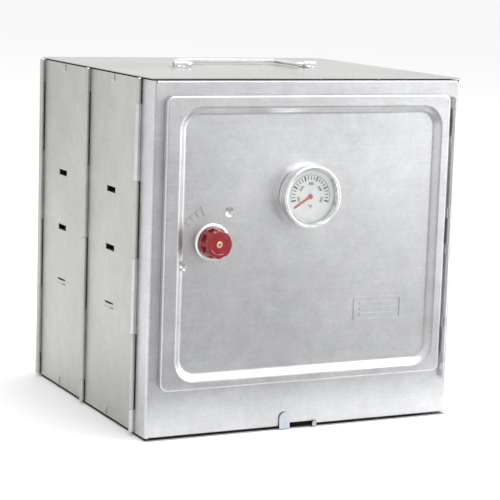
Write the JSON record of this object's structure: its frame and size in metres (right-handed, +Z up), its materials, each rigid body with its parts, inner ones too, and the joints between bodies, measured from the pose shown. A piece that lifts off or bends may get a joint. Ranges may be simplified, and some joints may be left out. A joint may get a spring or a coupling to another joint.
{
  "type": "folding camp oven",
  "caption": "Box-shaped folding sheet-metal camp oven with hinged side walls, a front door with latch knob and dial heat gauge, an inner wire rack and a carrying handle.",
  "frame": {"origin": "centre of the footprint of the box (front face to back face, side wall to side wall) on the plane the bottom panel rests on", "axes": "+Z up; the door faces -Y; +X is to the right of someone who faces the door"},
  "size_m": [0.3044, 0.2867, 0.3108],
  "materials": {
    "sheet": "aluminium-coated cold-rolled sheet, satin with a fine spangle",
    "hinge_wire": "drawn wire, zinc plated",
    "zinc_steel": "zinc plated, slightly bluish",
    "plated_wire": "nickel plated wire",
    "bright_plate": "bright plated",
    "knob_red": "glossy moulded phenolic",
    "brass": "turned, lightly tarnished",
    "spun_aluminium": "spun and bright dipped",
    "dial_white": "white enamel with black print",
    "needle_red": "satin paint",
    "glass": "clear"
  },
  "bodies": {
    "back": {"back_panel": "sheet", "left_rear_pin": "hinge_wire", "right_rear_pin": "hinge_wire", "top_pin": "hinge_wire", "bottom_pin": "hinge_wire"},
    "left_rear": {"left_rear_side": "sheet", "left_mid_pin": "hinge_wire"},
    "left_front": {"left_front_side": "sheet"},
    "right_rear": {"right_rear_side": "sheet", "right_mid_pin": "hinge_wire"},
    "right_front": {"right_front_side": "sheet"},
    "front": {"front_frame": "sheet", "left_front_pin": "hinge_wire", "right_front_pin": "hinge_wire", "door_pin": "hinge_wire"},
    "door": {"door_panel": "sheet", "escutcheon": "spun_aluminium", "gauge_case": "zinc_steel", "gauge_bezel": "spun_aluminium", "gauge_dial": "dial_white", "gauge_glass": "glass", "gauge_coil": "brass", "gauge_nut": "brass", "spring_washer": "zinc_steel"},
    "latch": {"knob": "knob_red", "knob_eyelet": "brass", "latch_spindle": "zinc_steel", "latch_lever": "zinc_steel", "latch_clip": "zinc_steel"},
    "needle": {"gauge_needle": "needle_red"},
    "rack": {"rack_frame": "plated_wire", "rack_rods": "plated_wire"},
    "top": {"top_panel": "sheet", "handle_brackets": "bright_plate", "handle_rivets": "zinc_steel"},
    "bail": {"handle_bail": "bright_plate"},
    "bottom": {"bottom_panel": "sheet", "heat_spreader": "sheet", "spreader_rivets": "zinc_steel", "bottom_clip": "zinc_steel"}
  },
  "joints": [
    {"name": "left_rear_fold", "type": "hinge", "parent": "back", "child": "left_rear", "pos_m": [-0.1497, 0.1256, 0.153], "axis": [0, 0, 1], "range_deg": [0, 88]},
    {"name": "left_mid_fold", "type": "hinge", "parent": "left_rear", "child": "left_front", "pos_m": [-0.1497, 0.0093, 0.153], "axis": [0, 0, 1], "range_deg": [-176, 0]},
    {"name": "front_fold", "type": "hinge", "parent": "left_front", "child": "front", "pos_m": [-0.1497, -0.107, 0.153], "axis": [0, 0, 1], "range_deg": [0, 88]},
    {"name": "right_rear_fold", "type": "hinge", "parent": "back", "child": "right_rear", "pos_m": [0.1497, 0.1256, 0.153], "axis": [0, 0, 1], "range_deg": [-88, 0]},
    {"name": "right_mid_fold", "type": "hinge", "parent": "right_rear", "child": "right_front", "pos_m": [0.1497, 0.0093, 0.153], "axis": [0, 0, 1], "range_deg": [0, 176]},
    {"name": "door_swing", "type": "hinge", "parent": "front", "child": "door", "pos_m": [0.1405, -0.1355, 0.169], "axis": [0, 0, -1], "range_deg": [-115, 0]},
    {"name": "latch_turn", "type": "hinge", "parent": "door", "child": "latch", "pos_m": [-0.0915, -0.1342, 0.168], "axis": [0, -1, 0], "range_deg": [0, 92]},
    {"name": "needle_turn", "type": "hinge", "parent": "door", "child": "needle", "pos_m": [-0.004, -0.141, 0.205], "axis": [0, 1, 0], "range_deg": [0, 231], "stiffness_Nm_per_rad": 0.0001},
    {"name": "rack_swing", "type": "hinge", "parent": "back", "child": "rack", "pos_m": [0, 0.1307, 0.1016], "axis": [-1, 0, 0], "range_deg": [-90, 0]},
    {"name": "top_lift", "type": "hinge", "parent": "back", "child": "top", "pos_m": [0, 0.1347, 0.3025], "axis": [-1, 0, 0], "range_deg": [0, 180]},
    {"name": "bottom_drop", "type": "hinge", "parent": "back", "child": "bottom", "pos_m": [0, 0.1347, 0.0025], "axis": [1, 0, 0], "range_deg": [0, 180]},
    {"name": "handle_fold", "type": "hinge", "parent": "top", "child": "bail", "pos_m": [0, 0, 0.308], "axis": [1, 0, 0], "range_deg": [0, 180]}
  ],
  "couplings": [
    {"joint": "left_mid_fold", "follows": "left_rear_fold", "ratio": -2},
    {"joint": "front_fold", "follows": "left_rear_fold", "ratio": 1},
    {"joint": "right_rear_fold", "follows": "left_rear_fold", "ratio": -1},
    {"joint": "right_mid_fold", "follows": "left_rear_fold", "ratio": 2}
  ]
}
